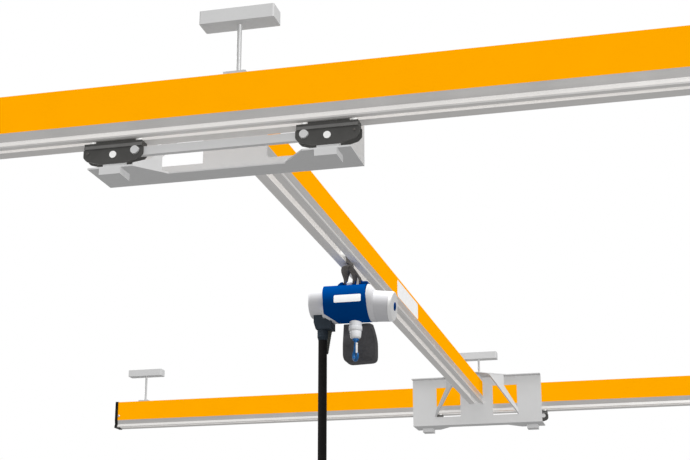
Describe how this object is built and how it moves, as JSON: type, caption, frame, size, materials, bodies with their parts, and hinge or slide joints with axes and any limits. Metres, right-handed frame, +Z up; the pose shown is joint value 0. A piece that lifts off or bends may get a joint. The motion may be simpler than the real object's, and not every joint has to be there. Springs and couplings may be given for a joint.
{
  "type": "single girder overhead crane",
  "caption": "Light overhead crane on hung runway tracks: a single girder rolls on trolley carriages and carries an electric chain hoist with hook, chain bag and hanging control pendant.",
  "frame": {"origin": "middle of the top face of the front row's middle ceiling bracket", "axes": "+X along the runways to the right, +Y along the girder away from the viewer, +Z up"},
  "size_m": [5.734, 5.856, 2.378],
  "materials": {
    "track_orange": "satin",
    "cap_black": "matte",
    "sheet_grey": "satin",
    "rod_zinc": "satin",
    "casting_charcoal": "satin",
    "nylon_white": "satin",
    "hoist_blue": "satin",
    "cover_white": "gloss",
    "bag_grey": "matte",
    "cable_black": "matte",
    "pendant_dark": "matte",
    "latch_zinc": "satin"
  },
  "bodies": {
    "runways": {"front_runway_track": "track_orange", "front_end_caps": "cap_black", "front_hanger_rods": "rod_zinc", "front_track_clamps": "rod_zinc", "front_middle_bracket": "sheet_grey", "front_outer_brackets": "sheet_grey", "rear_runway_track": "track_orange", "rear_end_caps": "cap_black", "rear_hanger_rods": "rod_zinc", "rear_track_clamps": "rod_zinc", "rear_middle_bracket": "sheet_grey", "rear_outer_brackets": "sheet_grey"},
    "bridge": {"girder": "track_orange", "front_carriage_frame": "sheet_grey", "front_carriage_braces": "sheet_grey", "front_girder_clamp": "sheet_grey", "front_left_trolley": "casting_charcoal", "front_right_trolley": "casting_charcoal", "front_trolley_wheels": "nylon_white", "front_guide_rollers": "nylon_white", "front_load_pins": "nylon_white", "front_saddles": "sheet_grey", "front_trolley_link": "rod_zinc", "rear_carriage_frame": "sheet_grey", "rear_carriage_braces": "sheet_grey", "rear_girder_clamp": "sheet_grey", "rear_left_trolley": "casting_charcoal", "rear_right_trolley": "casting_charcoal", "rear_trolley_wheels": "nylon_white", "rear_guide_rollers": "nylon_white", "rear_load_pins": "nylon_white", "rear_saddles": "sheet_grey", "rear_trolley_link": "rod_zinc"},
    "hoist": {"hoist_trolley": "casting_charcoal", "hoist_trolley_wheels": "nylon_white", "hoist_yoke": "casting_charcoal", "hoist_body": "hoist_blue", "hoist_left_cover": "cover_white", "hoist_right_cover": "cover_white", "hook_sleeve": "cover_white", "chain_bag": "bag_grey", "cable_socket": "cable_black", "side_relief": "cable_black", "control_cable": "cable_black", "pendant": "pendant_dark"},
    "hook": {"hook": "hoist_blue"},
    "latch": {"hook_latch": "latch_zinc"}
  },
  "joints": [
    {"name": "bridge_travel", "type": "slide", "parent": "runways", "child": "bridge", "axis": [1, 0, 0], "range_m": [-2.15, 2.15]},
    {"name": "hoist_travel", "type": "slide", "parent": "bridge", "child": "hoist", "axis": [0, 1, 0], "range_m": [-1.5, 3.45]},
    {"name": "hook_swivel", "type": "hinge", "parent": "hoist", "child": "hook", "pos_m": [-0.033, 1.82, -0.76], "axis": [0, 0, 1], "continuous": true},
    {"name": "latch_pivot", "type": "hinge", "parent": "hook", "child": "latch", "pos_m": [-0.02608, 1.81145, -0.782], "axis": [0.7771, 0.6293, 0], "range_deg": [0, 17], "stiffness_Nm_per_rad": 0.02, "springref_deg": -17.19}
  ]
}
